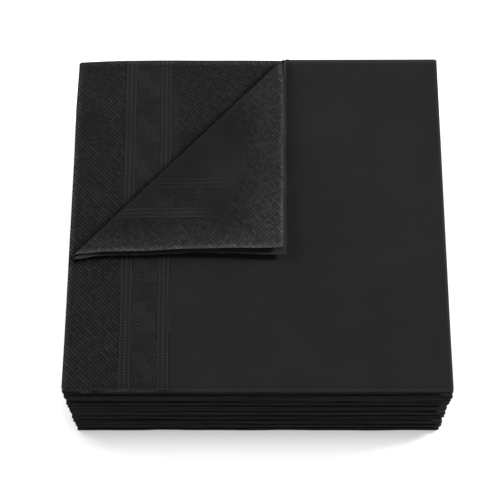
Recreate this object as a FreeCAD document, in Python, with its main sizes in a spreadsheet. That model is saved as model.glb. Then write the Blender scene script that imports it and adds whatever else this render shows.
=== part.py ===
import FreeCAD, Part

import math
import os

import Sketcher

# A stack of paper napkins, free-standing, in millimetres. The origin is at the middle of the
# underside, +Z is up, +X points to the folded edge on the right, and -Y to the folded edge in front.
# Each napkin is one sheet of two-ply paper folded in half twice, so it has four leaves, leaf 1 on top
# to leaf 4 below. The first fold is the front edge, where leaf 1 turns into leaf 2 and leaf 3 into
# leaf 4. The second fold is the right edge, where leaf 1 wraps round to leaf 4 and leaf 2 to leaf 3.
# On the top napkin the open corner of leaves 1 and 2, at the back left, is turned back over itself.

SIZES = {
    "napkin_width": 165.0,
    "napkin_depth": 159.0,
    "paper_thickness": 0.285,
    # How far the pressed edge of the first fold tapers.
    "crease_taper": 0.30,
    # The air between leaves 1 and 2, and between 3 and 4.
    "leaf_gap": 0.09,
    # The air between leaves 2 and 3.
    "middle_gap": 0.12,
    # The air between two napkins of the stack.
    "stack_clearance": 0.06,
    "napkin_count": 40,
    # How far each handful of napkins and each napkin in it slipped, and how much further back the
    # napkins at the end of a handful were left.
    "handful_slip": 0.3,
    "napkin_slip": 0.2,
    "recess": 1.3,
    "napkin_twist": 0.15,
    # The top napkin is not pressed by others, so its leaves stand further apart.
    "top_leaf_gap": 0.62,
    "top_middle_gap": 1.02,
    # The turned-back corner: its legs along the back and left edges, the inner radius of its bend,
    # how far the flap would reach from those edges without the bend, and the angle at which it rises.
    "corner_back_leg": 97.0,
    "corner_left_leg": 102.6,
    "corner_bend_radius": 1.3,
    "flap_reach_right": 98.15,
    "flap_reach_front": 100.95,
    "flap_rise": 0.9,
}

# Counted up from the lowest, the napkins that end a handful. Each leaves a dark groove in front.
HANDFUL_ENDS = (6, 10, 14, 19, 25, 31, 38, 39)

# Napkins and handfuls slip by multiples of the golden angle, so that no pattern shows.
GOLDEN_ANGLE = math.pi * (3 - math.sqrt(5))
SKETCH_ORIGIN = (-1, 1)
SKETCH_UPRIGHT_AXIS = (-2,)


def make_sheet(doc):
    """Write every driving size into a spreadsheet, each under its own alias."""
    sheet = doc.addObject("Spreadsheet::Sheet", "Sizes")
    for row, (alias, value) in enumerate(SIZES.items(), start=1):
        sheet.set("A%d" % row, alias)
        sheet.set("B%d" % row, str(value))
        sheet.setAlias("B%d" % row, alias)
    doc.recompute()
    return sheet


def origin_plane(body, role):
    """Return one of a body's own origin planes."""
    return next(item for item in body.Origin.OriginFeatures if item.Role == role)


def start_sketch(body, role, name):
    """Start a sketch on one of a body's own origin planes."""
    sketch = body.newObject("Sketcher::SketchObject", name)
    sketch.AttachmentSupport = (origin_plane(body, role), [""])
    sketch.MapMode = "FlatFace"
    return sketch


def constrain(sketch, *rules):
    """Add geometric rules to a sketch."""
    for rule in rules:
        sketch.addConstraint(Sketcher.Constraint(*rule))


def dimension(sketch, name, expression, *rule):
    """Add a named dimension to a sketch and bind it to the sheet's sizes."""
    index = sketch.addConstraint(Sketcher.Constraint(*rule))
    sketch.renameConstraint(index, name)
    sketch.setExpression("Constraints." + name, expression)


def draw_outline(sketch, corners):
    """Draw a closed outline through its corners and keep its level and upright edges so."""
    points = [FreeCAD.Vector(x, y, 0) for x, y in corners]
    ends = points[1:] + points[:1]
    edges = sketch.addGeometry([Part.LineSegment(start, end) for start, end in zip(points, ends)], False)
    for edge, following in zip(edges, edges[1:] + edges[:1]):
        constrain(sketch, ("Coincident", edge, 2, following, 1))
    for edge, start, end in zip(edges, points, ends):
        if start.y == end.y:
            constrain(sketch, ("Horizontal", edge))
        elif start.x == end.x:
            constrain(sketch, ("Vertical", edge))
    return edges


def fold_section(body, sheet, leaf_gap, middle_gap):
    """Sketch the section of a pair of leaves that the second fold turns round.

    The sketch's level axis is the axis of that fold, and the pair lies below it. The fold presses the
    two leaves together, and their corner with the first fold is blunt, so the section is a plain strip.
    """
    taper = sheet.get("crease_taper")
    back = sheet.get("napkin_depth") / 2
    top = -sheet.get(middle_gap) / 2
    thick = 2 * sheet.get("paper_thickness") + sheet.get(leaf_gap)
    sketch = start_sketch(body, "YZ_Plane", body.Name + "_fold_section")
    front_end, over, back_end, _ = draw_outline(sketch, [
        (taper - back, top - thick), (taper - back, top), (back, top), (back, top - thick)])
    dimension(sketch, "pair", "2 * Sizes.paper_thickness + Sizes.%s" % leaf_gap,
              "DistanceY", back_end, 2, back_end, 1, thick)
    dimension(sketch, "back", "Sizes.napkin_depth / 2", "DistanceX", *SKETCH_ORIGIN, over, 2, back)
    dimension(sketch, "front", "Sizes.napkin_depth / 2 - Sizes.crease_taper",
              "DistanceX", front_end, 2, *SKETCH_ORIGIN, back - taper)
    dimension(sketch, "below_axis", "Sizes.%s / 2" % middle_gap,
              "DistanceY", over, 2, *SKETCH_ORIGIN, -top)
    return sketch


def pair_section(body, sheet, leaf_gap, middle_gap):
    """Sketch the section of a pair of leaves, joined in front by the first fold and open at the back.

    The sketch's level axis is the axis of the second fold, and the pair lies below it. The first fold
    is a pressed crease: its outside tapers to an edge, and the gap between its leaves ends square.
    """
    taper = sheet.get("crease_taper")
    back = sheet.get("napkin_depth") / 2
    top = -sheet.get(middle_gap) / 2
    paper = sheet.get("paper_thickness")
    gap = sheet.get(leaf_gap)
    gap_end = taper + paper / 2
    bottom = top - 2 * paper - gap
    sketch = start_sketch(body, "YZ_Plane", body.Name + "_pair_section")
    lower_taper, upper_taper, over, upper_end, _, gap_wall, _, lower_end, _ = draw_outline(sketch, [
        (taper - back, bottom),
        (-back, (top + bottom) / 2),
        (taper - back, top),
        (back, top),
        (back, top - paper),
        (gap_end - back, top - paper),
        (gap_end - back, bottom + paper),
        (back, bottom + paper),
        (back, bottom),
    ])
    constrain(sketch,
              ("Equal", upper_end, lower_end),
              ("Equal", lower_taper, upper_taper),
              ("Vertical", lower_taper, 1, upper_taper, 2),
              ("Vertical", upper_end, 2, lower_end, 1))
    dimension(sketch, "paper", "Sizes.paper_thickness",
              "DistanceY", upper_end, 2, upper_end, 1, paper)
    dimension(sketch, "gap", "Sizes.%s" % leaf_gap, "DistanceY", gap_wall, 2, gap_wall, 1, gap)
    dimension(sketch, "taper", "Sizes.crease_taper", "DistanceX", upper_taper, 1, upper_taper, 2, taper)
    dimension(sketch, "gap_end", "Sizes.crease_taper + Sizes.paper_thickness / 2",
              "DistanceX", upper_taper, 1, gap_wall, 1, gap_end)
    dimension(sketch, "back", "Sizes.napkin_depth / 2", "DistanceX", *SKETCH_ORIGIN, over, 2, back)
    dimension(sketch, "front", "Sizes.napkin_depth / 2",
              "DistanceX", upper_taper, 1, *SKETCH_ORIGIN, back)
    dimension(sketch, "below_axis", "Sizes.%s / 2" % middle_gap,
              "DistanceY", over, 2, *SKETCH_ORIGIN, -top)
    return sketch


def folded_napkin(doc, sheet, name, leaf_gap, middle_gap):
    """Make one napkin folded in four, with its own origin in the axis of its second fold."""
    body = doc.addObject("PartDesign::Body", name)
    turn = fold_section(body, sheet, leaf_gap, middle_gap)
    pair = pair_section(body, sheet, leaf_gap, middle_gap)

    second_fold = body.newObject("PartDesign::Revolution", name + "_second_fold")
    second_fold.Profile = turn
    second_fold.ReferenceAxis = (turn, ["H_Axis"])
    second_fold.Angle = 180
    second_fold.Reversed = True

    lower_pair = body.newObject("PartDesign::Pad", name + "_lower_pair")
    lower_pair.Profile = pair
    lower_pair.Reversed = True
    lower_pair.setExpression("Length", "Sizes.napkin_width - Sizes.%s / 2 - Sizes.%s"
                             " - 2 * Sizes.paper_thickness" % (middle_gap, leaf_gap))

    upper_pair = body.newObject("PartDesign::Mirrored", name + "_upper_pair")
    upper_pair.Originals = [lower_pair]
    upper_pair.MirrorPlane = (origin_plane(body, "XY_Plane"), [""])
    body.Tip = upper_pair
    return body


def folded_thickness(sheet, leaf_gap, middle_gap):
    """Return how thick a folded napkin is, over its four leaves."""
    return 4 * sheet.get("paper_thickness") + 2 * sheet.get(leaf_gap) + sheet.get(middle_gap)


def underside_height(sheet, index):
    """Return the height of a napkin's underside, counted up from the lowest napkin, which is 0."""
    step = folded_thickness(sheet, "leaf_gap", "middle_gap") + sheet.get("stack_clearance")
    return index * step


def from_middle_to_axis(sheet, thickness):
    """Return the step from a napkin's middle to the axis of its second fold."""
    return FreeCAD.Vector((sheet.get("napkin_width") - thickness) / 2, 0, 0)


def stacked_placement(sheet, index):
    """Return where a pressed napkin lies: its height, its slip and its small turn."""
    thickness = folded_thickness(sheet, "leaf_gap", "middle_gap")
    number = index + 1
    handful_angle = sum(number > end for end in HANDFUL_ENDS) * GOLDEN_ANGLE
    napkin_angle = index * GOLDEN_ANGLE
    recess = sheet.get("recess") if number in HANDFUL_ENDS else 0
    handful_slip = sheet.get("handful_slip")
    napkin_slip = sheet.get("napkin_slip")
    middle = FreeCAD.Vector(
        handful_slip * math.sin(handful_angle) + napkin_slip * math.sin(napkin_angle),
        handful_slip * math.sin(2 * handful_angle) + napkin_slip * math.sin(2 * napkin_angle) + recess,
        underside_height(sheet, index) + thickness / 2)
    twist = FreeCAD.Rotation(FreeCAD.Vector(0, 0, 1), sheet.get("napkin_twist") * math.sin(3 * napkin_angle))
    return FreeCAD.Placement(middle + twist.multVec(from_middle_to_axis(sheet, thickness)), twist)


def turned_leaf(doc, sheet, name, inner_radius):
    """Make one leaf of the turned-back corner: its bend, and the flat flap after it, as a long strip.

    The body's Y axis is the axis of the bend, and its X axis points out across the fold line. The
    inner radius is an expression of the sheet's sizes. The flap's outline is cut afterwards.
    """
    body = doc.addObject("PartDesign::Body", name)
    inner = sheet.get("corner_bend_radius")
    outer = inner + sheet.get("paper_thickness")
    rise = math.radians(sheet.get("flap_rise"))
    run = sheet.get("corner_left_leg")
    bend_end = math.pi / 2 - rise
    flat_step = FreeCAD.Vector(-run * math.cos(rise), run * math.sin(rise), 0)
    centre = FreeCAD.Vector()

    def bend(radius):
        circle = Part.Circle(centre, FreeCAD.Vector(0, 0, 1), radius)
        return Part.ArcOfCircle(circle, -math.pi / 2, bend_end)

    def face_of_flap(radius):
        start = FreeCAD.Vector(radius * math.cos(bend_end), radius * math.sin(bend_end), 0)
        return Part.LineSegment(start, start + flat_step)

    under = face_of_flap(inner)
    over = face_of_flap(outer)
    sketch = start_sketch(body, "XZ_Plane", name + "_section")
    inner_bend, outer_bend, underside, upside, root, edge = sketch.addGeometry([
        bend(inner),
        bend(outer),
        under,
        over,
        Part.LineSegment(FreeCAD.Vector(0, -inner, 0), FreeCAD.Vector(0, -outer, 0)),
        Part.LineSegment(under.EndPoint, over.EndPoint),
    ], False)
    constrain(sketch,
              ("Coincident", inner_bend, 3, *SKETCH_ORIGIN),
              ("Coincident", outer_bend, 3, *SKETCH_ORIGIN),
              ("Tangent", inner_bend, 2, underside, 1),
              ("Tangent", outer_bend, 2, upside, 1),
              ("Coincident", inner_bend, 1, root, 1),
              ("Coincident", outer_bend, 1, root, 2),
              ("Coincident", underside, 2, edge, 1),
              ("Coincident", upside, 2, edge, 2),
              ("PointOnObject", root, 1, *SKETCH_UPRIGHT_AXIS),
              ("PointOnObject", root, 2, *SKETCH_UPRIGHT_AXIS),
              ("Parallel", underside, upside),
              ("Perpendicular", underside, edge))
    dimension(sketch, "inner_radius", inner_radius, "Radius", inner_bend, inner)
    dimension(sketch, "paper", "Sizes.paper_thickness", "Distance", root, 1, root, 2, outer - inner)
    dimension(sketch, "run", "Sizes.corner_left_leg", "Distance", underside, 1, underside, 2, run)
    dimension(sketch, "rise", "(180 - Sizes.flap_rise) * 1 deg", "Angle", underside, math.pi - rise)

    leaf = body.newObject("PartDesign::Pad", name + "_strip")
    leaf.Profile = sketch
    leaf.Midplane = True
    leaf.setExpression("Length", "2 * Sizes.corner_left_leg")
    body.Tip = leaf
    return body


def flap_block(doc, name, inner_radius):
    """Make the upright block that a turned leaf is trimmed to.

    The leaf's two free edges were the napkin's back and left edges. Turned over, they lie along the
    right and front sides of the block, short of the whole reach by the paper that the bend takes up.
    """
    block = doc.addObject("Part::Box", name)
    taken_up = "pi * (%s + Sizes.paper_thickness / 2) / sqrt(2)" % inner_radius
    reach_front = "Sizes.flap_reach_front - " + taken_up
    block.setExpression("Length", "Sizes.flap_reach_right - " + taken_up)
    block.setExpression("Width", reach_front)
    block.setExpression("Height", "2 * Sizes.corner_left_leg")
    block.setExpression("Placement.Base.x", "-Sizes.napkin_width / 2")
    block.setExpression("Placement.Base.y", "Sizes.napkin_depth / 2 - (%s)" % reach_front)
    return block


def top_napkin(doc, sheet, name):
    """Make the top napkin, with the back left corner of its upper two leaves turned back."""
    thickness = folded_thickness(sheet, "top_leaf_gap", "top_middle_gap")
    underside = underside_height(sheet, int(sheet.get("napkin_count")) - 1)
    upside = underside + thickness
    back_leg = sheet.get("corner_back_leg")
    left_leg = sheet.get("corner_left_leg")
    slant = math.degrees(math.atan2(left_leg, back_leg))
    left = -sheet.get("napkin_width") / 2
    back = sheet.get("napkin_depth") / 2
    upright = FreeCAD.Vector(0, 0, 1)

    whole = folded_napkin(doc, sheet, name + "_whole", "top_leaf_gap", "top_middle_gap")
    whole.Placement.Base = (from_middle_to_axis(sheet, thickness)
                            + FreeCAD.Vector(0, 0, underside + thickness / 2))

    corner = doc.addObject("Part::Box", name + "_corner")
    corner.setExpression("Length", "sqrt(Sizes.corner_back_leg ^ 2 + Sizes.corner_left_leg ^ 2)")
    corner.setExpression("Width", "Sizes.corner_left_leg")
    corner.Height = thickness
    corner.Placement = FreeCAD.Placement(
        FreeCAD.Vector(left, back - left_leg, underside + thickness / 2),
        FreeCAD.Rotation(upright, slant))

    cut = doc.addObject("Part::Cut", name + "_without_corner")
    cut.Base = whole
    cut.Tool = corner

    bend_axis = FreeCAD.Placement(
        FreeCAD.Vector(left + back_leg / 2, back - left_leg / 2,
                       upside + sheet.get("corner_bend_radius")),
        FreeCAD.Rotation(upright, 90 + slant))
    turned = []
    for leaf, inner_radius in (
        ("leaf_1", "Sizes.corner_bend_radius"),
        ("leaf_2", "(Sizes.corner_bend_radius + Sizes.paper_thickness + Sizes.top_leaf_gap)"),
    ):
        strip = turned_leaf(doc, sheet, "%s_%s" % (name, leaf), inner_radius)
        strip.Placement = bend_axis
        flap = doc.addObject("Part::Common", "%s_%s_turned" % (name, leaf))
        flap.Base = strip
        flap.Tool = flap_block(doc, "%s_%s_outline" % (name, leaf), inner_radius)
        turned.append(flap)

    napkin = doc.addObject("Part::MultiFuse", name)
    napkin.Shapes = [cut] + turned
    return napkin


def make_stack(doc, sheet):
    """Make every napkin of the stack, the lowest first, and return them in order."""
    count = int(sheet.get("napkin_count"))
    napkins = []
    for index in range(count - 1):
        napkin = folded_napkin(doc, sheet, "napkin_%02d" % (index + 1), "leaf_gap", "middle_gap")
        napkin.Placement = stacked_placement(sheet, index)
        napkins.append(napkin)
    napkins.append(top_napkin(doc, sheet, "napkin_%02d" % count))
    for napkin in napkins:
        napkin.Label = napkin.Name
    return napkins


def check_model(doc, napkins):
    """Stop with a plain message where an object failed or a napkin is not one valid solid."""
    for item in doc.Objects:
        if "Invalid" in item.State or "Error" in item.State:
            raise RuntimeError("%s failed: %s" % (item.Name, item.State))
    for napkin in napkins:
        shape = napkin.Shape
        if shape.isNull() or not shape.isValid() or len(shape.Solids) != 1:
            raise RuntimeError("%s is not one valid solid" % napkin.Label)


def main():
    """Build the stack, check it and write one file for each napkin."""
    doc = FreeCAD.newDocument("napkin_stack")
    sheet = make_sheet(doc)
    napkins = make_stack(doc, sheet)
    doc.recompute()
    check_model(doc, napkins)
    os.makedirs("parts", exist_ok=True)
    for napkin in napkins:
        napkin.Shape.exportStep("parts/%s.step" % napkin.Label)


main()
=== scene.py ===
import logging
import math
from dataclasses import dataclass, field
from enum import Enum

import bmesh
import bpy
import numpy as np
from mathutils import Matrix, Vector


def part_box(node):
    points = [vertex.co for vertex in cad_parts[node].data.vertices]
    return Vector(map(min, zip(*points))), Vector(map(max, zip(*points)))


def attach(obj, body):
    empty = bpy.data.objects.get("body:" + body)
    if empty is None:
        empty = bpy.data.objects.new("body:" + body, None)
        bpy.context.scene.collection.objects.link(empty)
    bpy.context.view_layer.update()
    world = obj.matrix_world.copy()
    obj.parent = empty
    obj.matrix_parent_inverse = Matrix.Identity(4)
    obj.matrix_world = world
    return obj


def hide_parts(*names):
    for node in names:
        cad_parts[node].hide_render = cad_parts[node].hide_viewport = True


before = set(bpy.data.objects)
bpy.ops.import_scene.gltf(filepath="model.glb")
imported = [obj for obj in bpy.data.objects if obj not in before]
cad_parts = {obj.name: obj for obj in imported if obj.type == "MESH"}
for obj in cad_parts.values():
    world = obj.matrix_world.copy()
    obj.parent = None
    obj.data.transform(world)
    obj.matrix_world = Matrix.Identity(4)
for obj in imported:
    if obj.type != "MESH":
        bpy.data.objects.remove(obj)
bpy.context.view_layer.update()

# A stack of folded paper napkins. Sizes are in millimetres until a mesh takes its place, and metres
# from there on. A napkin's flat sheet is measured from the crossing of its two creases: u runs across
# the second fold, v across the first, and w out of side A, the side that shows everywhere.
# Leaf 1 has u and v above 0, leaf 2 has v below 0, leaf 3 both below 0, and leaf 4 u below 0.

MILLIMETRE = 0.001
HALF_SHEET = (165.0, 159.0)
FLAT_SHEET = (0.330, 0.318)
GOLDEN_ANGLE = math.pi * (3 - math.sqrt(5))
SMOOTHED_BELOW = math.radians(50)
Socket = bpy.types.NodeSocket
log = logging.getLogger("napkin_stack")


class Leaf(Enum):
    """One of the four leaves of a folded napkin, with the signs of u and v on the flat sheet."""

    FIRST = (1, 1)
    SECOND = (1, -1)
    THIRD = (-1, -1)
    FOURTH = (-1, 1)

    def holds(self, u: np.ndarray, v: np.ndarray) -> np.ndarray:
        """Say which points of the flat sheet lie on this leaf."""
        return (u * self.value[0] > 0) & (v * self.value[1] > 0)


def smooth_step(value: np.ndarray, low: float, high: float) -> np.ndarray:
    """Rise smoothly from 0 where the value is low or less to 1 where it is high or more."""
    share = np.clip((value - low) / (high - low), 0, 1)
    return share * share * (3 - 2 * share)


def ridge(distance: np.ndarray, width: float) -> np.ndarray:
    """Give the height of a rounded ridge of unit height, whose width is that at half its height."""
    return np.exp(-2.77 * (distance / width) ** 2)


def only(item: bpy.types.Object) -> None:
    """Leave one object selected and active.

    Args:
        item: The object.
    """
    bpy.ops.object.select_all(action="DESELECT")
    item.select_set(True)
    bpy.context.view_layer.objects.active = item


def read_points(mesh: bpy.types.Mesh) -> np.ndarray:
    """Read a mesh's vertices.

    Args:
        mesh: The mesh.

    Returns:
        Their places in millimetres, one row each.
    """
    values = np.empty(len(mesh.vertices) * 3, np.float32)
    mesh.vertices.foreach_get("co", values)
    return values.reshape(-1, 3).astype(float) / MILLIMETRE


def write_points(mesh: bpy.types.Mesh, points: np.ndarray) -> None:
    """Move a mesh's vertices to points given in millimetres."""
    mesh.vertices.foreach_set("co", (points * MILLIMETRE).astype(np.float32).ravel())
    mesh.update()


@dataclass(frozen=True)
class Waves:
    """A gentle unevenness that runs along an edge or over a leaf.

    Attributes:
        height: How far it goes to each side at most.
        lengths: The lengths of the waves that it is made of.
        seed: What tells it apart from the others.
    """

    height: float
    lengths: tuple[float, ...]
    seed: int

    def along(self, place: np.ndarray) -> np.ndarray:
        """Read the unevenness along a line.

        Args:
            place: Where to read it.

        Returns:
            Its height at each place.
        """
        draw = np.random.default_rng(self.seed)
        total = np.zeros_like(place)
        for length in self.lengths:
            start = draw.uniform(0, 2 * math.pi)
            stretch = draw.uniform(0.8, 1.25)
            total += draw.uniform(0.5, 1.0) * np.sin(2 * math.pi * place / (length * stretch) + start)
        return self.height * total / len(self.lengths)


@dataclass(frozen=True)
class FoldSizes:
    """How large a folded napkin is and how thick its paper and gaps are, as in its solid.

    Attributes:
        width: How far its second fold is from its open left edge.
        depth: How far its first fold is from its open back edge.
        paper: The thickness of the paper.
        leaf_gap: The air between leaves 1 and 2, and between 3 and 4.
        middle_gap: The air between leaves 2 and 3.
    """

    width: float = 165.0
    depth: float = 159.0
    paper: float = 0.285
    leaf_gap: float = 0.09
    middle_gap: float = 0.12

    @property
    def leaf_step(self) -> float:
        """The step between the two leaves that the first fold joins."""
        return self.paper + self.leaf_gap

    @property
    def inner_radius(self) -> float:
        """The radius at which leaves 2 and 3 turn round the second fold."""
        return (self.middle_gap + self.paper) / 2

    @property
    def outer_radius(self) -> float:
        """The radius at which leaves 1 and 4 turn round the second fold."""
        return self.inner_radius + self.leaf_step

    @property
    def thickness(self) -> float:
        """The height of the folded napkin, over its four leaves."""
        return 2 * self.outer_radius + self.paper

    def fold(self, flat: np.ndarray) -> np.ndarray:
        """Fold a flat sheet in half twice.

        Args:
            flat: Points of the flat sheet, as rows of u, v and w.

        Returns:
            The folded points, measured from the middle of the napkin.
        """
        u, v, w = flat.T
        half_step = self.leaf_step / 2
        quarter = math.pi / 2
        crease = quarter * half_step
        y_axis = half_step + self.paper / 2 - self.depth / 2
        stretch = (self.depth / 2 - y_axis) / (HALF_SHEET[1] - crease)
        turn = np.clip(v / half_step, -quarter, quarter)
        y = y_axis - (half_step + w) * np.cos(turn) + np.maximum(0, np.abs(v) - crease) * stretch
        radius = self.inner_radius + half_step + half_step * np.sin(turn)
        whole = radius + w * np.sin(turn)

        x_axis = (self.width - self.thickness) / 2
        bend = np.clip(u / radius, -quarter, quarter)
        past = np.maximum(0, np.abs(u) - quarter * radius)
        past *= (x_axis + self.width / 2) / (HALF_SHEET[0] - quarter * radius)
        return np.column_stack((x_axis + whole * np.cos(bend) - past, y, whole * np.sin(bend)))


@dataclass(frozen=True)
class SheetLines:
    """Where a flat sheet's lines run on each side of a crease.

    Attributes:
        fine: The step between the lines at the crease.
        fine_count: How many of these there are on each side.
        further: The lines beyond them, out to the sheet's edge.
    """

    fine: float
    fine_count: int
    further: tuple[float, ...]

    def positions(self) -> np.ndarray:
        """List the lines on both sides of the crease, in order."""
        side = [self.fine * (step + 1) for step in range(self.fine_count)] + list(self.further)
        return np.array([-place for place in reversed(side)] + [0.0] + side)


@dataclass(frozen=True)
class FlatSheet:
    """The flat sheet that a napkin is folded from.

    Attributes:
        across: Its lines on both sides of the second fold.
        along: Its lines on both sides of the first fold.
        paper: Its thickness.
    """

    across: SheetLines
    along: SheetLines
    paper: float

    def build(self, name: str) -> bpy.types.Object:
        """Model the sheet, with its thickness.

        Args:
            name: What the new object is called.

        Returns:
            The flat sheet, with the crossing of its creases at the origin.
        """
        columns = self.across.positions()
        rows = self.along.positions()
        bpy.ops.object.select_all(action="DESELECT")
        bpy.ops.mesh.primitive_grid_add(
            x_subdivisions=len(columns) - 1, y_subdivisions=len(rows) - 1, size=1, location=(0, 0, 0))
        sheet = bpy.context.object
        sheet.name = name
        sheet.data.name = name
        share = read_points(sheet.data) * MILLIMETRE + 0.5
        column = np.rint(share[:, 0] * (len(columns) - 1)).astype(int)
        row = np.rint(share[:, 1] * (len(rows) - 1)).astype(int)
        write_points(sheet.data, np.column_stack((columns[column], rows[row], np.zeros(len(row)))))
        wall = sheet.modifiers.new("paper_thickness", "SOLIDIFY")
        wall.thickness = self.paper * MILLIMETRE
        wall.offset = 0
        bpy.ops.object.modifier_apply(modifier=wall.name)
        return sheet


def complete(sheet: bpy.types.Object) -> None:
    """Keep each corner's place on the flat sheet as the UV map, and smooth the shading.

    Args:
        sheet: The flat sheet, with all its faces.
    """
    mesh = sheet.data
    points = read_points(mesh) * MILLIMETRE
    corners = np.empty(len(mesh.loops), np.int32)
    mesh.loops.foreach_get("vertex_index", corners)
    mesh.uv_layers[0].name = "flat_sheet"
    mesh.uv_layers[0].uv.foreach_set("vector", points[corners, :2].astype(np.float32).ravel())
    only(sheet)
    bpy.ops.object.shade_smooth_by_angle(angle=SMOOTHED_BELOW)


@dataclass(frozen=True)
class Settling:
    """How the stack has settled: its open corner sags, and its top is not quite flat.

    Attributes:
        height: The height over the floor at which it is as uneven as given here.
        corner: Where the open corner lies.
        corner_sag: How far that corner sags.
        corner_reach: How far from it the sag is felt.
        unevenness: How far the top swells and dips.
    """

    height: float = 61.0
    corner: tuple[float, float] = (-82.5, 79.5)
    corner_sag: float = 2.4
    corner_reach: float = 13.0
    unevenness: float = 0.12

    def apply(self, points: np.ndarray) -> np.ndarray:
        """Press points of the stack down to where they settled.

        Args:
            points: Points of the stack in its own frame.

        Returns:
            The settled points.
        """
        x, y, z = points.T
        away = np.hypot(x - self.corner[0], y - self.corner[1])
        sag = self.corner_sag * np.exp(-(away / self.corner_reach) ** 2)
        swell = self.unevenness * (np.sin(x / 31 + 1.1) * np.cos(y / 27 - 0.4) - 1)
        return np.column_stack((x, y, z + (swell - sag) * np.clip(z / self.height, 0, 1.2)))


@dataclass
class StackedNapkins:
    """The napkins under the top one, pressed flat by those above them.

    Attributes:
        count: How many there are.
        sizes: The sizes of each.
        settling: How the stack has settled.
        twist: How far they are turned on each other at most, in degrees.
        edge_wave: How far their edges wander to each side.
        wave_lengths: The lengths of the waves in which they do.
        leaf_slip: How far their open leaves slip on each other.
        slip_start: How far from the folds this slip starts.
        recessed: The numbers of those whose front lies further back, as dark grooves.
        recess: How much further back it lies than that of the others.
        solids_recessed: The numbers of those whose solids lie further back.
        solid_recess: How much further back these lie.
        recess_reach: How far back from the front a napkin makes up for that.
    """

    count: int = 39
    sizes: FoldSizes = field(default_factory=FoldSizes)
    settling: Settling = field(default_factory=Settling)
    twist: float = 0.15
    edge_wave: float = 0.3
    wave_lengths: tuple[float, ...] = (150, 62, 28)
    leaf_slip: float = 0.4
    slip_start: float = 90.0
    recessed: tuple[int, ...] = (3, 8, 12, 13, 16, 21, 22, 27, 28, 31, 32, 38, 39)
    recess: float = 2.2
    solids_recessed: tuple[int, ...] = (6, 10, 14, 19, 25, 31, 38, 39)
    solid_recess: float = 1.3
    recess_reach: float = 60.0

    def sheet(self) -> bpy.types.Object:
        """Model the flat sheet that every pressed napkin is folded from.

        Returns:
            The sheet.
        """
        steps = tuple(float(place) for place in range(8, 160, 8))
        across = SheetLines(0.22, 5, (3.0,) + steps + (HALF_SHEET[0],))
        along = SheetLines(0.12, 3, (2.0, 14.0, 40.0, 75.0, 110.0, 135.0, 148.0, 155.0, HALF_SHEET[1]))
        flat = FlatSheet(across, along, self.sizes.paper).build("pressed_sheet")
        complete(flat)
        return flat

    def uneven(self, index: int, flat: np.ndarray, points: np.ndarray) -> np.ndarray:
        """Let the edges of a folded napkin wander a little, and its open leaves slip on each other.

        Args:
            index: The napkin's place in the stack, counted up from 0.
            flat: Its points on the flat sheet.
            points: Its folded points.

        Returns:
            The uneven points.
        """
        x, y, z = points.T
        front = Waves(self.edge_wave, self.wave_lengths, 10 * index + 1).along(x)
        back = self.recess * (index + 1 in self.recessed)
        back -= self.solid_recess * (index + 1 in self.solids_recessed)
        front += back * (1 - smooth_step(y + self.sizes.depth / 2, 0, self.recess_reach))
        side = Waves(self.edge_wave, self.wave_lengths, 10 * index + 2).along(y)
        draw = np.random.default_rng(10 * index + 3)
        for leaf in Leaf:
            on_leaf = leaf.holds(flat[:, 0], flat[:, 1])
            slip = draw.uniform(-1, 1, 2) * self.leaf_slip
            front += on_leaf * slip[0] * smooth_step(np.abs(flat[:, 1]), self.slip_start, HALF_SHEET[1])
            side += on_leaf * slip[1] * smooth_step(np.abs(flat[:, 0]), self.slip_start, HALF_SHEET[0])
        return np.column_stack((x + side, y + front, z))

    def place(self, index: int, points: np.ndarray) -> np.ndarray:
        """Turn and move a folded napkin to where its solid lies.

        Args:
            index: The napkin's place in the stack, counted up from 0.
            points: Its folded points, measured from its middle.

        Returns:
            The points in the stack's frame.
        """
        low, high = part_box("napkin_%02d" % (index + 1))
        middle = np.array((low + high) / 2) / MILLIMETRE
        angle = math.radians(self.twist * math.sin(3 * index * GOLDEN_ANGLE))
        turn = np.array(Matrix.Rotation(angle, 3, "Z"))
        return points @ turn.T + middle

    def build(self, paper: bpy.types.Material) -> None:
        """Model one pressed sheet and fold a copy of it for each napkin.

        Args:
            paper: The finish of every napkin here.
        """
        master = self.sheet()
        flat = read_points(master.data)
        folded = self.sizes.fold(flat)
        for index in range(self.count):
            name = "folded_napkin_%02d" % (index + 1)
            napkin = bpy.data.objects.new(name, master.data.copy())
            napkin.data.name = name
            bpy.context.scene.collection.objects.link(napkin)
            points = self.place(index, self.uneven(index, flat, folded))
            write_points(napkin.data, self.settling.apply(points))
            napkin.data.materials.append(paper)
            hand_over(napkin, "napkin_%02d" % (index + 1))
        bpy.data.objects.remove(master)


def hand_over(napkin: bpy.types.Object, node: str) -> None:
    """Let a finished napkin ride with the stack in place of its solid.

    Args:
        napkin: The finished napkin.
        node: The solid that it stands for.
    """
    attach(napkin, "root")
    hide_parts(node)
    log.info("%s: %d faces, in place of %s", napkin.name, len(napkin.data.polygons), node)


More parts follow.
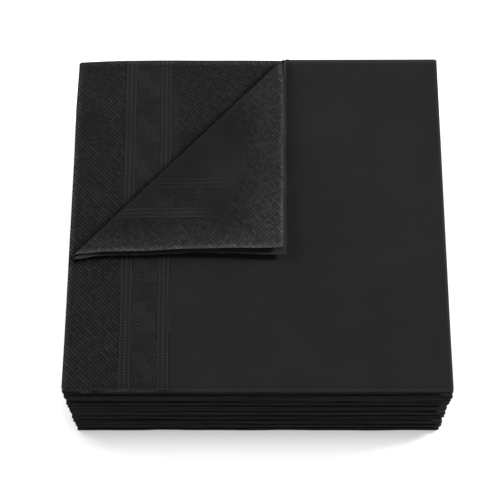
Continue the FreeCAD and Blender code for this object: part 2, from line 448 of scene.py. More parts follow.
@dataclass(frozen=True)
class EmbossedBorder:
    """The border pressed into a leaf's left edge: hatching, and a rope between two double ladders.

    Attributes:
        start: How far the first ladder is from the edge, where the leaf is folded at its front.
        askew: How much nearer to the edge it is at the back, as a share of the way.
        ladder: How wide a ladder is.
        line: How wide its lines and the rope's strands are.
        rung_step: The step between its rungs.
        clear: How far the hatching keeps away from it.
        rope: How wide the rope's field is.
        bundle: How far the rope's strands reach to each side of its middle line.
        strand_step: The step between its strands.
        dot_step: The step between the dots that the strands break into on their way back.
        round_step: The step from one bight of the rope to the next on its other side.
        round_start: How far along the first of them is moved.
        round_radius: The radius of the ring round each plain round.
        dots_radius: The radius of the circle of dots outside that ring.
        hatched_again: How far from the second ladder hatching starts again, or None where it does not.
    """

    start: float = 23.9
    askew: float = 0.012
    ladder: float = 4.0
    line: float = 0.6
    rung_step: float = 1.3
    clear: float = 0.7
    rope: float = 12.15
    bundle: float = 2.4
    strand_step: float = 1.2
    dot_step: float = 1.5
    round_step: float = 11.3
    round_start: float = -5.4
    round_radius: float = 2.5
    dots_radius: float = 3.8
    hatched_again: float | None = None

    def ladder_height(self, across: np.ndarray, along: np.ndarray) -> np.ndarray:
        """Give the height of a double ladder: three lines and the rungs between them.

        Args:
            across: How far each point is from the ladder's first line.
            along: Its place along the border.

        Returns:
            The height at each point, below 0 where the paper is plain.
        """
        lines = sum(ridge(across - self.ladder * share, self.line) for share in (0, 0.5, 1))
        between = (across > 0) & (across < self.ladder)
        rungs = between * (0.4 + 0.4 * np.cos(2 * math.pi * along / self.rung_step))
        covered = (across > -self.clear) & (across < self.ladder + self.clear)
        return np.where(covered, np.maximum(lines, rungs), -1)

    def rope_height(self, across: np.ndarray, along: np.ndarray) -> np.ndarray:
        """Give the height of the rope: a bundle of strands that winds between plain rounds.

        Args:
            across: How far each point is from the rope's middle.
            along: Its place along the border.

        Returns:
            The height at each point, below 0 where the paper is plain.
        """
        phase = math.pi * (along + self.round_start) / self.round_step
        swing = self.rope / 2 - self.bundle - self.clear
        steep = np.sqrt(1 + (swing * math.pi / self.round_step * np.sin(phase)) ** 2)
        beside = (across - swing * np.cos(phase)) / steep
        in_bundle = np.abs(beside) < self.bundle
        dotted = 0.65 + 0.35 * np.cos(2 * math.pi * (along + across) / self.dot_step)
        dotted = np.where(np.sin(phase) > -0.25, 1.0, dotted)
        strands = [ridge(beside - self.strand_step * place, self.line) for place in (-1.5, -0.5, 0.5, 1.5)]
        height = np.where(in_bundle, np.maximum(0.1, dotted * np.maximum.reduce(strands)), -1)

        nearest = np.rint(phase / math.pi)
        side = np.where(nearest % 2 == 0, -1, 1)
        sideways = across - side * self.round_radius
        onward = (phase / math.pi - nearest) * self.round_step
        away = np.hypot(sideways, onward)
        ring = (np.abs(away - self.round_radius) < 0.7) & ~in_bundle
        height = np.where(ring, 0.9 * ridge(away - self.round_radius, 0.5), height)
        dots = (np.abs(away - self.dots_radius) < 0.6) & ~in_bundle & (side * sideways > -1)
        dot = ridge(away - self.dots_radius, 0.6) * (0.5 + 0.5 * np.cos(16 * np.arctan2(onward, sideways)))
        height = np.where(dots, 0.2 + 0.8 * dot, height)
        return np.where(np.abs(across) < self.rope / 2 - 0.4, height, -1)

    def height(self, edge: np.ndarray, along: np.ndarray, hatch: np.ndarray) -> np.ndarray:
        """Give the relief of the whole border.

        Args:
            edge: How far each point is from the leaf's left edge.
            along: Its place along that edge.
            hatch: The height of the hatching there.

        Returns:
            The relief at each point, from 0 to 1, and below 0 where the paper is plain.
        """
        first = edge - self.start + self.askew * along
        second = first - self.ladder - self.rope
        total = np.maximum.reduce([
            np.where(first < -self.clear, hatch, -1),
            self.ladder_height(first, along),
            self.rope_height(first - self.ladder - self.rope / 2, along),
            self.ladder_height(second, along),
        ])
        if self.hatched_again is not None:
            plain = self.ladder + self.hatched_again + 3 * smooth_step(HALF_SHEET[1] - along, 2, 30)
            total = np.where(second > plain, hatch, total)
        return total


@dataclass(frozen=True)
class Embossing:
    """The relief pressed into the side of the paper that shows, and the tone laid over that side, much of
    it painted light.

    Attributes:
        depth: How far its ridges stand over its grooves.
        plain: The height of plain paper, where its grooves are at 0 and its ridges at 1.
        hatch_pitch: The step between the hatching's lines along either edge.
        unevenness: How much one dash of the hatching may differ from another.
        seed: What the dashes' heights are drawn from.
        back_hatch: How far in from its back edge leaf 2's own hatching reaches.
        side_hatch: How far in from its left edge its border's does.
        middle_shade: The tone of the turned-back corner's middle, where that of the rest is 1, darker as
            painted shade.
        patch_tone: How much lighter and darker its patches are than that.
        margin_highlight: The tone along its free edges, lighter as a painted highlight.
        corner_highlight: What is added to it at its free corner, as a painted highlight.
        front_fold_shade: What is taken from the tone along the first fold, as painted shade there.
        under_margin: How far in from its free edges leaf 1 shows from below.
        under_highlight: Its tone there, lighter as a painted highlight.
        under_edge_highlight: How much of the painted edge highlight shows there.
        borders: The border of each leaf that has one.
    """

    depth: float = 0.4
    plain: float = 0.45
    hatch_pitch: float = 1.94
    unevenness: float = 0.45
    seed: int = 17
    back_hatch: float = 23.0
    side_hatch: float = 13.6
    middle_shade: float = 0.83
    patch_tone: float = 0.24
    margin_highlight: float = 1.7
    corner_highlight: float = 0.75
    front_fold_shade: float = 0.3
    under_margin: float = 8.0
    under_highlight: float = 1.2
    under_edge_highlight: float = 0.8
    borders: dict[Leaf, EmbossedBorder] = field(default_factory=lambda: {
        Leaf.FIRST: EmbossedBorder(),
        Leaf.SECOND: EmbossedBorder(start=18.6, askew=0.026, rope=10.2),
        Leaf.THIRD: EmbossedBorder(start=24.4, hatched_again=0.7),
    })

    def hatch(self, u: np.ndarray, v: np.ndarray) -> np.ndarray:
        """Give the height of the slanting hatching, broken into dashes as in a twill.

        Args:
            u: Places across the second fold.
            v: Places across the first fold.

        Returns:
            The height at each point, from 0 to 1, or a little over on the highest dashes.
        """
        slant = (np.abs(v) - np.abs(u)) / self.hatch_pitch
        cross = (np.abs(v) + np.abs(u)) / self.hatch_pitch
        lines = 0.52 + 0.48 * np.cos(2 * math.pi * slant)
        double = 0.9 + 0.1 * np.cos(math.pi * slant)
        line = np.floor(slant + 0.5)
        place = cross + line / 2
        dashes = 0.78 + 0.22 * np.cos(2 * math.pi * place)
        count = 256
        draw = np.random.default_rng(self.seed)
        draws = draw.uniform(1 - self.unevenness, 1 + self.unevenness, (count, count))
        uneven = draws[line.astype(int) % count, np.floor(place + 0.5).astype(int) % count]
        return np.clip(lines * double * dashes * uneven, 0, 1.2)

    def turned_up(self, edge: np.ndarray, back: np.ndarray, bordered: np.ndarray,
                  hatch: np.ndarray) -> np.ndarray:
        """Give the relief of leaf 2, where hatching along the back edge covers the border's end.

        Args:
            edge: How far each point is from the leaf's left edge.
            back: How far it is from the back edge.
            bordered: The border's relief there.
            hatch: The height of the hatching there.

        Returns:
            The relief at each point, from 0 to 1.
        """
        reach = self.back_hatch + 5 * np.sin(edge / 11 + 0.6) - 4 * smooth_step(edge, 60, 95)
        covered = 1 - smooth_step(back, reach - 4, reach + 4)
        level = np.where(bordered < 0, self.plain, bordered)
        faded = level + (self.plain - level) * smooth_step(-back, -reach - 14, -reach + 2)
        return np.where(edge < self.side_hatch, bordered, faded * (1 - covered) + hatch * covered)

    def relief(self, u: np.ndarray, v: np.ndarray) -> np.ndarray:
        """Give the relief's height on the whole flat sheet.

        Args:
            u: Places across the second fold.
            v: Places across the first fold.

        Returns:
            The height at each point, from 0 in the grooves to 1 on the ridges.
        """
        edge = HALF_SHEET[0] - np.abs(u)
        along = np.abs(v)
        hatch = self.hatch(u, v)
        total = np.full_like(u, -1)
        for leaf, border in self.borders.items():
            pressed = border.height(edge, along, hatch)
            if leaf is Leaf.SECOND:
                pressed = self.turned_up(edge, HALF_SHEET[1] - along, pressed, hatch)
            total = np.where(leaf.holds(u, v), pressed, total)
        return np.where(total < 0, self.plain, total)

    def tone(self, u: np.ndarray, v: np.ndarray) -> np.ndarray:
        """Give how much lighter or darker the side that shows is than plain tissue: painted light, with
        painted shade in the turned-back corner's middle, where it also has uneven patches, and along the
        first fold, and painted highlights along the corner's free edges and at its free corner.

        Args:
            u: Places across the second fold.
            v: Places across the first fold.

        Returns:
            The tone at each point, 1 where it is that of plain tissue.
        """
        edge = HALF_SHEET[0] - np.abs(u)
        back = HALF_SHEET[1] - np.abs(v)
        corner = 1 - smooth_step(np.hypot(edge, back), 4, 40)
        margin = 1 - smooth_step(np.minimum(edge * 1.6, back), 3, 26)
        patches = np.sin(edge / 7.5 + 0.8 * np.sin(back / 9))
        patches *= np.sin(back / 8.5 + 0.7 * np.sin(edge / 6) + 2)
        # Painted light on the turned-back corner: painted shade in its middle, with uneven patches, and
        # painted highlights along its free edges and at its free corner.
        middle = self.middle_shade + self.patch_tone * patches
        turned = middle + (self.margin_highlight - middle) * margin + self.corner_highlight * corner
        # Painted shade along the first fold, which also takes back much of the painted edge highlight
        # there.
        in_front = 1 - self.front_fold_shade * (1 - smooth_step(np.abs(v), 1, 4))
        return np.where(Leaf.SECOND.holds(u, v), turned, in_front)

    def surface(self, flat: np.ndarray) -> dict[str, np.ndarray]:
        """Give what the finish has to know of each point of the sheet.

        Args:
            flat: Points of the flat sheet, as rows of u, v and w.

        Returns:
            The relief, which also sets the painted shade of its hollows, the tone with its painted light,
            and how much of the painted edge highlight shows, each by its name.
        """
        u, v, w = flat.T
        outer = w > 0
        margin = np.min(HALF_SHEET - np.abs(flat[:, :2]), axis=1)
        # Leaf 1's margin, where it shows from under the flap, gets painted light: a lighter tone and part
        # of the painted edge highlight.
        under = ~outer & Leaf.FIRST.holds(u, v) & (margin < self.under_margin)
        return {
            "relief": np.where(outer, self.relief(u, v), self.plain),
            "tone": np.where(outer, self.tone(u, v), np.where(under, self.under_highlight, 1.0)),
            # Where the painted edge highlight shows: in full on the side that shows, in part on leaf 1's
            # margin under the flap.
            "outer": outer + self.under_edge_highlight * under,
        }


@dataclass(frozen=True)
class TurnedCorner:
    """The corner of the top napkin's upper two leaves, turned back over them.

    Attributes:
        start: How far from the second fold the turned leaves start.
        back_leg: How far along the back edge the corner's fold ends.
        left_leg: How far along the left edge it ends.
        left_ease: How far the fold curves out of its line at that end.
        ease_reach: How far along the fold that is felt.
        bend_radius: The inner radius of its bend.
        rise: The angle in degrees at which the flap rises from the leaf under it.
        curl: How far leaf 2's free corner curls up.
        lower_curl: How far leaf 1's does, which lies under it.
        free_corner: Where the free corner of leaf 1 lies, from the napkin's middle.
        slip: How far leaf 2's free corner lies from there.
        billow: How unevenly both leaves lift.
        gape: How much more leaf 2 lifts.
        droop: How far leaf 1 hangs down along its left edge, which is now in front.
        droop_reach: How far in from that edge it does.
        upturn: How far leaf 2 is turned up along its free edges.
        upturn_reach: How far in from these it is.
        wander: How the free edges wander along the fold's line and out of it.
        side_slide: How far leaf 2's side has slid out over leaf 1's.
        front_draw: How far leaf 2's front edge is drawn back between the fold and its corner.
        lower_front_draw: How far leaf 1's is.
        draw_reach: How far in from the edges these last three are felt.
    """

    start: float = 20.0
    back_leg: float = 98.3
    left_leg: float = 103.9
    left_ease: float = 1.5
    ease_reach: float = 9.0
    bend_radius: float = 1.3
    rise: float = 0.9
    curl: float = 1.6
    lower_curl: float = 0.2
    free_corner: tuple[float, float] = (12.45, -18.3)
    slip: tuple[float, float] = (-1.35, 1.9)
    billow: Waves = Waves(0.35, (90, 47), 7)
    gape: float = 0.2
    droop: float = 0.9
    droop_reach: float = 7.0
    upturn: float = 0.3
    upturn_reach: float = 3.5
    wander: tuple[Waves, Waves] = (Waves(0.3, (38, 21), 11), Waves(0.3, (34, 19), 12))
    side_slide: float = 0.6
    front_draw: float = 0.8
    lower_front_draw: float = 1.9
    draw_reach: float = 28.0

    def turn(self, flat: np.ndarray, points: np.ndarray, sizes: FoldSizes) -> np.ndarray:
        """Turn the corner back.

        Args:
            flat: The napkin's points on the flat sheet.
            points: Its folded points, measured from its middle.
            sizes: The napkin's sizes.

        Returns:
            The points, with those of the corner turned back.
        """
        slant = math.atan2(self.left_leg, self.back_leg)
        along_line = np.array((math.cos(slant), math.sin(slant)))
        out_of_line = np.array((-math.sin(slant), math.cos(slant)))
        left_end = np.array((-sizes.width / 2, sizes.depth / 2 - self.left_leg))
        flat_corner = np.array((-sizes.width / 2, sizes.depth / 2)) - left_end
        plan = points[:, :2] - left_end
        beyond = plan @ out_of_line
        along = plan @ along_line
        beyond -= self.left_ease * np.exp(-np.abs(along) / self.ease_reach)
        second = flat[:, 1] < 0
        turned = (flat[:, 0] > self.start) & (beyond > 0)
        axis = sizes.thickness / 2 + self.bend_radius
        radius = axis - np.where(second, sizes.inner_radius, sizes.outer_radius)
        whole = axis - points[:, 2]
        rise = math.radians(self.rise)
        end = math.pi - rise
        angle = np.clip(beyond / radius, 0, end)
        run = np.maximum(0, beyond - radius * end)
        share = run / (flat_corner @ out_of_line - radius * end)

        target = np.where(second[:, None], np.add(self.free_corner, self.slip), self.free_corner)
        target = target - left_end
        out = whole * np.sin(angle) + share * (target @ out_of_line)
        along = along + share * (target @ along_line - flat_corner @ along_line)
        edge = HALF_SHEET[0] - np.abs(flat[:, 0])
        back = HALF_SHEET[1] - np.abs(flat[:, 1])
        margin = np.minimum(edge, back)
        past_fold = smooth_step(share, 0, 0.15)
        lift = run * math.sin(rise) + np.where(second, self.curl, self.lower_curl) * share ** 2
        lift += share * self.billow.along(along) + second * self.gape * share
        lift -= ~second * self.droop * past_fold * (1 - smooth_step(edge, 0, self.droop_reach))
        lift += second * self.upturn * past_fold * (1 - smooth_step(margin, 0, self.upturn_reach))
        height = axis - whole * np.cos(angle) + lift

        wander = np.column_stack([waves.along(along) for waves in self.wander])
        moved = left_end + out[:, None] * out_of_line + along[:, None] * along_line
        moved += wander * smooth_step(share, 0, 0.4)[:, None]
        past_fold = smooth_step(share, 0, 0.12)
        slide = second * self.side_slide * past_fold * (1 - smooth_step(share, 0.3, 0.95))
        moved[:, 0] += slide * (1 - smooth_step(back, 0, self.draw_reach))
        drawn = np.where(second, self.front_draw, self.lower_front_draw)
        drawn = drawn * past_fold * (1 - smooth_step(share, 0.55, 1))
        moved[:, 1] += drawn * (1 - smooth_step(edge, 0, self.draw_reach))
        return np.where(turned[:, None], np.column_stack((moved, height)), points)


@dataclass
class TopNapkin:
    """The napkin on top, not pressed by others, with a corner turned back and an embossed border.

    Attributes:
        sizes: Its sizes, with its leaves further apart than in a pressed napkin.
        corner: The corner that is turned back.
        embossing: The relief on the side that shows.
        settling: How the stack has settled.
        back_slip: How far its lower leaves have slipped back at the open left edge.
        cell: The step between its lines before the faces that show are divided.
        cuts: How many cuts divide each of these.
        relief_reach: How far in from its left edge leaf 1 carries relief.
    """

    sizes: FoldSizes = field(default_factory=lambda: FoldSizes(leaf_gap=0.62, middle_gap=1.02))
    corner: TurnedCorner = field(default_factory=TurnedCorner)
    embossing: Embossing = field(default_factory=Embossing)
    settling: Settling = field(default_factory=Settling)
    back_slip: float = 0.9
    cell: float = 4.85
    cuts: int = 8
    relief_reach: float = 46.5

    def sheet(self) -> bpy.types.Object:
        """Model the flat sheet, before the faces that show are divided.

        Returns:
            The sheet.
        """
        across = SheetLines(0.45, 7, tuple(np.linspace(6, HALF_SHEET[0], 34)))
        along = SheetLines(0.16, 6, tuple(np.linspace(4, HALF_SHEET[1], 33)))
        return FlatSheet(across, along, self.sizes.paper).build("top_sheet")

    def refine(self, sheet: bpy.types.Object) -> None:
        """Divide the faces that carry relief, and those that turn round the corner's bend.

        Args:
            sheet: The flat sheet.
        """
        only(sheet)
        bpy.ops.object.mode_set(mode="EDIT")
        bpy.ops.mesh.select_mode(type="FACE")
        bpy.ops.mesh.select_all(action="DESELECT")
        shape = bmesh.from_edit_mesh(sheet.data)
        for face in shape.faces:
            if abs(face.normal.z) > 0.9:
                centre = face.calc_center_median() / MILLIMETRE
                face.select = self.is_fine(centre.x, centre.y, face.normal.z > 0)
        shape.select_flush_mode()
        bmesh.update_edit_mesh(sheet.data)
        bpy.ops.mesh.subdivide(number_cuts=self.cuts)
        bpy.ops.object.mode_set(mode="OBJECT")

    def is_fine(self, u: float, v: float, side_a: bool) -> bool:
        """Say whether a face of the flat sheet is divided.

        Args:
            u: Its middle's place across the second fold.
            v: Its middle's place across the first fold.
            side_a: Whether it is on the side that shows.

        Returns:
            Whether it carries relief or turns round the corner's bend.
        """
        margin = 0.75 * self.cell
        edge = HALF_SHEET[0] - abs(u)
        back = HALF_SHEET[1] - abs(v)
        legs = self.corner.back_leg, self.corner.left_leg
        beyond = (1 - edge / legs[0] - back / legs[1]) * legs[0] * legs[1] / math.hypot(*legs)
        if u > 0 and -2 - margin < beyond < 6 + margin:
            return True
        if u < 0 or v < 0:
            return side_a and v < 0 and beyond > -margin
        return side_a and edge < self.relief_reach and v > 1 and beyond < 0

    def build(self, paper: bpy.types.Material) -> None:
        """Model the napkin on top.

        Args:
            paper: Its finish.
        """
        napkin = self.sheet()
        self.refine(napkin)
        napkin.name = "folded_napkin_40"
        napkin.data.name = napkin.name
        complete(napkin)
        flat = read_points(napkin.data)
        surface = self.embossing.surface(flat)
        for name, values in surface.items():
            kept = napkin.data.attributes.new(name, "FLOAT", "POINT")
            kept.data.foreach_set("value", values.astype(np.float32))
        pressed = flat.copy()
        pressed[:, 2] += self.embossing.depth * (surface["relief"] - self.embossing.plain)
        points = self.sizes.fold(pressed)
        lower = smooth_step(-flat[:, 0], 60, HALF_SHEET[0])
        points[:, 1] += self.back_slip * lower * smooth_step(points[:, 1], 0, 70)
        points = self.corner.turn(flat, points, self.sizes)
        sizes = self.sizes
        low = np.array(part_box("napkin_40")[0]) / MILLIMETRE
        points += low + np.array((sizes.width, sizes.depth, sizes.thickness)) / 2
        write_points(napkin.data, self.settling.apply(points))
        napkin.data.materials.append(paper)
        hand_over(napkin, "napkin_40")


class Nodes:
    """A short way to add and join the nodes of a tree."""

    def __init__(self, tree: bpy.types.NodeTree) -> None:
        """Start with an empty tree."""
        self.tree = tree
        tree.nodes.clear()

    def put(self, value: object, socket: Socket) -> None:
        """Give an input its value.

        Args:
            value: The value, or the output of another node that gives it.
            socket: The input.
        """
        if isinstance(value, Socket):
            self.tree.links.new(value, socket)
        else:
            socket.default_value = value

    def add(self, kind: str, **settings: object) -> bpy.types.Node:
        """Add a node.

        Args:
            kind: Its type.
            **settings: Properties to set, or, where the name starts with a capital, inputs.

        Returns:
            The new node.
        """
        node = self.tree.nodes.new(kind)
        for key, value in settings.items():
            if hasattr(node, key):
                setattr(node, key, value)
            else:
                self.put(value, node.inputs[key.replace("_", " ")])
        return node

    def attribute(self, name: str) -> Socket:
        """Read a value that the mesh keeps at its points."""
        return self.add("ShaderNodeAttribute", attribute_name=name).outputs["Fac"]

    def math(self, operation: str, *values: object) -> Socket:
        """Add a sum over sockets and numbers.

        Args:
            operation: Which sum it is.
            *values: Its terms, each a socket or a number.

        Returns:
            The socket with the result.
        """
        node = self.add("ShaderNodeMath", operation=operation)
        for socket, value in zip(node.inputs, values):
            self.put(value, socket)
        return node.outputs[0]

    def scale(self, colour: Socket, factor: Socket) -> Socket:
        """Make a colour lighter or darker.

        Args:
            colour: The colour.
            factor: What it is multiplied by.

        Returns:
            The socket with the result.
        """
        node = self.add("ShaderNodeVectorMath", operation="SCALE", Scale=factor)
        self.put(colour, node.inputs[0])
        return node.outputs[0]


def tissue_group() -> bpy.types.ShaderNodeTree:
    """Build the soft, uneven surface that every tissue finish shares.

    Returns:
        A node group that takes a place, a colour and how strong each effect is, and gives the colour,
        the roughness and the height of the paper there.
    """
    group = bpy.data.node_groups.new("tissue_surface", "ShaderNodeTree")
    taken = {"Place": "Vector", "Colour": "Color", "Mottling": "Float", "Fibres": "Float", "Crepe": "Float"}
    made = {"Colour": "Color", "Roughness": "Float", "Height": "Float"}
    for side, sockets in (("INPUT", taken), ("OUTPUT", made)):
        for name, kind in sockets.items():
            group.interface.new_socket(name, in_out=side, socket_type="NodeSocket" + kind)
    nodes = Nodes(group)
    given = nodes.add("NodeGroupInput").outputs

    stretch = nodes.add("ShaderNodeMapping", vector_type="POINT", Vector=given["Place"],
                        Scale=(420.0, 2600.0, 420.0))
    noises = (
        nodes.add("ShaderNodeTexNoise", Vector=given["Place"], Scale=55.0, Detail=3.0, Roughness=0.55),
        nodes.add("ShaderNodeTexNoise", Vector=given["Place"], Scale=900.0, Detail=4.0, Roughness=0.7),
        nodes.add("ShaderNodeTexNoise", Vector=stretch.outputs["Vector"], Scale=1.0, Detail=3.0,
                  Roughness=0.6),
    )
    cloud, fleck, crepe = (nodes.math("SUBTRACT", noise.outputs["Fac"], 0.5) for noise in noises)
    fibres = nodes.math("MULTIPLY", fleck, given["Fibres"])
    tone = nodes.math("ADD", nodes.math("MULTIPLY_ADD", cloud, given["Mottling"], fibres), 1.0)
    roughness = nodes.math("MULTIPLY_ADD", fleck, 0.15, 0.86)
    height = nodes.math("MULTIPLY_ADD", crepe, given["Crepe"], fibres)
    nodes.add("NodeGroupOutput", Colour=nodes.scale(given["Colour"], tone), Roughness=roughness,
              Height=height)
    return group


@dataclass(frozen=True)
class TissueFinish:
    """Matt black tissue.

    Attributes:
        name: The material's name.
        colour: Its colour in linear values.
        mottling: How much its tone varies from place to place.
        fibres: How much its fibres show.
        crepe: How much its fine creping shows.
        relief_shade: How much lighter the ridges of its embossing are than the hollows, as painted shade in
            the hollows and painted highlight on the ridges.
        edge_highlight: How much lighter it is at its folds and its cut edges, as a painted highlight.
        highlight_full: How near these, in metres, the painted highlight is in full.
        highlight_end: How far from them the painted highlight ends.
    """

    name: str
    colour: tuple[float, float, float]
    mottling: float = 0.6
    fibres: float = 0.5
    crepe: float = 0.5
    relief_shade: float = 0.0
    edge_highlight: float = 0.0
    highlight_full: float = 0.0002
    highlight_end: float = 0.0026

    def edges(self, nodes: Nodes) -> Socket:
        """Give 1 at the sheet's folds and cut edges, falling to 0 a little way from them: the mask of the
        painted edge highlight.

        Args:
            nodes: The material's nodes.

        Returns:
            The socket with the mask.
        """
        flat = nodes.add("ShaderNodeUVMap", uv_map="flat_sheet")
        split = nodes.add("ShaderNodeSeparateXYZ", Vector=flat.outputs["UV"])
        near = []
        for axis, size in zip("XY", FLAT_SHEET):
            fold = nodes.math("ABSOLUTE", split.outputs[axis])
            near.append(nodes.math("MINIMUM", fold, nodes.math("SUBTRACT", size / 2, fold)))
        fade = nodes.add(
            "ShaderNodeMapRange", interpolation_type="SMOOTHSTEP", Value=nodes.math("MINIMUM", *near),
            From_Min=self.highlight_full, From_Max=self.highlight_end, To_Min=1.0, To_Max=0.0)
        return fade.outputs["Result"]

    def build(self, surface: bpy.types.ShaderNodeTree) -> bpy.types.Material:
        """Make the material.

        Args:
            surface: The node group that every tissue finish shares.

        Returns:
            The finished material.
        """
        material = bpy.data.materials.new(self.name)
        material.use_nodes = True
        nodes = Nodes(material.node_tree)
        place = nodes.add("ShaderNodeTexCoord").outputs["Object"]
        tissue = nodes.add("ShaderNodeGroup", node_tree=surface, Place=place, Colour=(*self.colour, 1),
                           Mottling=self.mottling, Fibres=self.fibres, Crepe=self.crepe).outputs
        bump = nodes.add("ShaderNodeBump", Height=tissue["Height"], Strength=0.55, Distance=0.00025)
        colour = tissue["Colour"]
        # Painted shade in the embossing's hollows and painted highlight on its ridges.
        if self.relief_shade:
            tone = nodes.math("MULTIPLY_ADD", nodes.attribute("relief"), self.relief_shade,
                              1 - self.relief_shade / 2)
            colour = nodes.scale(colour, tone)
        # Painted highlight along the folds and cut edges, where the outer attribute lets it show.
        if self.edge_highlight:
            mask = nodes.math("MULTIPLY", self.edges(nodes), nodes.attribute("outer"))
            tone = nodes.math("MULTIPLY_ADD", mask, self.edge_highlight, 1.0)
            # The tone attribute brings in the painted light of the turned-back corner and the first fold.
            colour = nodes.scale(colour, nodes.math("MULTIPLY", tone, nodes.attribute("tone")))
        shader = nodes.add(
            "ShaderNodeBsdfPrincipled", Base_Color=colour, Roughness=tissue["Roughness"],
            Normal=bump.outputs["Normal"], Specular_IOR_Level=0.1, Sheen_Weight=0.04, Sheen_Roughness=0.35)
        nodes.add("ShaderNodeOutputMaterial", Surface=shader.outputs["BSDF"])
        return material


@dataclass(frozen=True)
class SoftLamp:
    """A large round lamp that points at the stack.

    Attributes:
        name: What it is called.
        power: How strong it is, in watts.
        size: Its width in metres.
        azimuth: Its direction in degrees, counted from the right towards the back.
        elevation: Its height over the floor, in degrees.
        distance: How far away it hangs, in metres.
    """

    name: str
    power: float
    size: float
    azimuth: float
    elevation: float
    distance: float = 1.4

    def hang(self) -> None:
        """Hang the lamp."""
        azimuth = math.radians(self.azimuth)
        elevation = math.radians(self.elevation)
        away = Vector((math.cos(elevation) * math.cos(azimuth),
                       math.cos(elevation) * math.sin(azimuth), math.sin(elevation)))
        lamp = bpy.data.lights.new(self.name, "AREA")
        lamp.shape = "DISK"
        lamp.size = self.size
        lamp.energy = self.power
        item = bpy.data.objects.new(self.name, lamp)
        item.location = away * self.distance
        item.rotation_euler = away.to_track_quat("Z", "Y").to_euler()
        bpy.context.scene.collection.objects.link(item)


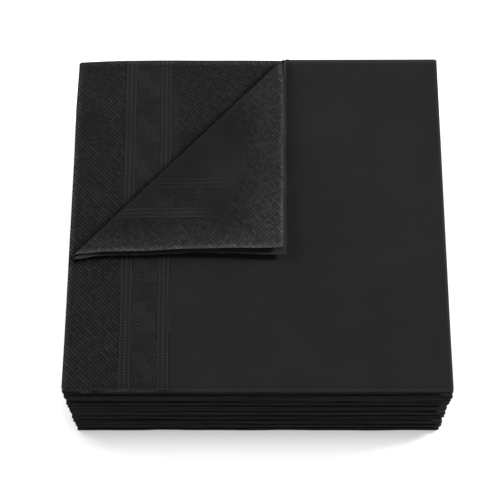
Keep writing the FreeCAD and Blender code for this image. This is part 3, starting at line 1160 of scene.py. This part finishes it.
@dataclass(frozen=True)
class Studio:
    """The pale floor, the soft light and the camera.

    Attributes:
        floor_size: The width of the floor in metres.
        floor_tones: The darkest and the lightest tone of its own grain.
        lamps: The lamps that give nearly all the light.
        ceiling_level: How strong the faint light from above is.
        wall_level: How strong the faint light from the sides is.
        floor_lift: How much white the camera sees on the floor, over what the lamps give it.
        contact: How near the stack, in metres, the floor loses that white.
        lens: The camera's focal length in millimetres.
        camera_place: Where it is, in metres.
        camera_pitch: How far it looks down, in degrees.
        camera_yaw: How far it is turned to the left, in degrees.
        camera_roll: How far it is tilted, in degrees.
    """

    floor_size: float = 8.0
    floor_tones: tuple[float, float] = (0.40, 0.43)
    lamps: tuple[SoftLamp, ...] = (
        SoftLamp("soft_key", power=22.3, size=0.36, azimuth=18.0, elevation=38.0),
        SoftLamp("soft_left", power=11.5, size=0.8, azimuth=150.0, elevation=32.0),
        SoftLamp("front_fill", power=3.8, size=0.8, azimuth=270.0, elevation=30.0),
    )
    ceiling_level: float = 0.02
    wall_level: float = 0.05
    floor_lift: float = 0.98
    contact: float = 0.016
    lens: float = 105.97
    camera_place: tuple[float, float, float] = (0.00165, -0.2562, 0.6577)
    camera_pitch: float = 67.97
    camera_yaw: float = 1.2
    camera_roll: float = -1.15

    def seen_ray(self, nodes: Nodes) -> Socket:
        """Tell the rays by which the camera sees, also in a reflection or through glass, from light's.

        Args:
            nodes: The material's or the world's nodes.

        Returns:
            The socket with 1 for these rays, and 0 for the others.
        """
        path = nodes.add("ShaderNodeLightPath").outputs
        seen = nodes.math("MAXIMUM", path["Is Camera Ray"], path["Is Glossy Ray"])
        return nodes.math("MAXIMUM", seen, path["Is Transmission Ray"])

    def floor_material(self) -> bpy.types.Material:
        """Make the floor's finish, white to the camera but for the stack's shadow.

        Returns:
            The finished material.
        """
        material = bpy.data.materials.new("pale_floor")
        material.use_nodes = True
        nodes = Nodes(material.node_tree)
        place = nodes.add("ShaderNodeTexCoord").outputs["Object"]
        grain = nodes.add("ShaderNodeTexNoise", Vector=place, Scale=30.0, Detail=2.0)
        ramp = nodes.add("ShaderNodeValToRGB", Fac=grain.outputs["Fac"])
        for element, tone in zip(ramp.color_ramp.elements, self.floor_tones):
            element.color = (tone, tone, tone, 1)
        shader = nodes.add("ShaderNodeBsdfPrincipled", Base_Color=ramp.outputs["Color"], Roughness=0.9,
                           Specular_IOR_Level=0.1)
        foot = nodes.add("ShaderNodeAmbientOcclusion", samples=16, Distance=self.contact)
        lift = nodes.math("MULTIPLY", foot.outputs["AO"], self.floor_lift)
        glow = nodes.add("ShaderNodeEmission", Color=(1, 1, 1, 1),
                         Strength=nodes.math("MULTIPLY", self.seen_ray(nodes), lift))
        both = nodes.add("ShaderNodeAddShader")
        nodes.put(shader.outputs["BSDF"], both.inputs[0])
        nodes.put(glow.outputs["Emission"], both.inputs[1])
        nodes.add("ShaderNodeOutputMaterial", Surface=both.outputs["Shader"])
        return material

    def floor(self) -> None:
        """Lay the floor."""
        bpy.ops.object.select_all(action="DESELECT")
        bpy.ops.mesh.primitive_plane_add(size=self.floor_size, location=(0, 0, -0.0001))
        floor = bpy.context.object
        floor.name = "studio_floor"
        floor.data.materials.append(self.floor_material())

    def world(self) -> None:
        """Make the white backdrop, and a faint light all round that is weaker from above."""
        world = bpy.data.worlds.new("soft_room")
        bpy.context.scene.world = world
        world.use_nodes = True
        nodes = Nodes(world.node_tree)
        place = nodes.add("ShaderNodeTexCoord").outputs["Generated"]
        split = nodes.add("ShaderNodeSeparateXYZ", Vector=place)
        rise = nodes.add("ShaderNodeMapRange", interpolation_type="SMOOTHSTEP", Value=split.outputs["Z"],
                         From_Min=0.3, From_Max=0.8, To_Min=self.wall_level, To_Max=self.ceiling_level)
        seen = self.seen_ray(nodes)
        light = nodes.math("MULTIPLY", nodes.math("SUBTRACT", 1.0, seen), rise.outputs["Result"])
        room = nodes.add("ShaderNodeBackground", Color=(1, 1, 1, 1),
                         Strength=nodes.math("ADD", seen, light))
        nodes.add("ShaderNodeOutputWorld", Surface=room.outputs["Background"])

    def camera(self) -> None:
        """Set the camera at the photograph's angle."""
        turns = ((self.camera_yaw, "Z"), (90 - self.camera_pitch, "X"), (self.camera_roll, "Z"))
        yaw, pitch, roll = (Matrix.Rotation(math.radians(angle), 4, axis) for angle, axis in turns)
        data = bpy.data.cameras.new("photo_view")
        data.lens = self.lens
        data.sensor_width = 36.0
        data.clip_start = 0.01
        item = bpy.data.objects.new("photo_view", data)
        item.matrix_world = Matrix.Translation(self.camera_place) @ yaw @ pitch @ roll
        bpy.context.scene.collection.objects.link(item)
        bpy.context.scene.camera = item

    def build(self) -> None:
        """Set up the floor, the light and the camera."""
        bpy.context.scene.view_settings.view_transform = "Standard"
        self.camera()
        self.floor()
        self.world()
        for lamp in self.lamps:
            lamp.hang()


def main() -> None:
    """Build the studio and every napkin of the stack, the lowest first."""
    logging.basicConfig(level=logging.INFO, format="%(name)s: %(message)s")
    Studio().build()
    surface = tissue_group()
    # The stacked napkins are the same black tissue as the top one, but their colour is set lighter: painted
    # light for the stack's shaded front.
    pressed = TissueFinish("black_tissue_edges", (0.0192, 0.0192, 0.0192)).build(surface)
    shown = TissueFinish("black_tissue_embossed", (0.0139, 0.0139, 0.0139), relief_shade=1.6,
                         edge_highlight=1.35).build(surface)
    StackedNapkins().build(pressed)
    TopNapkin().build(shown)


if __name__ == "__main__":
    main()
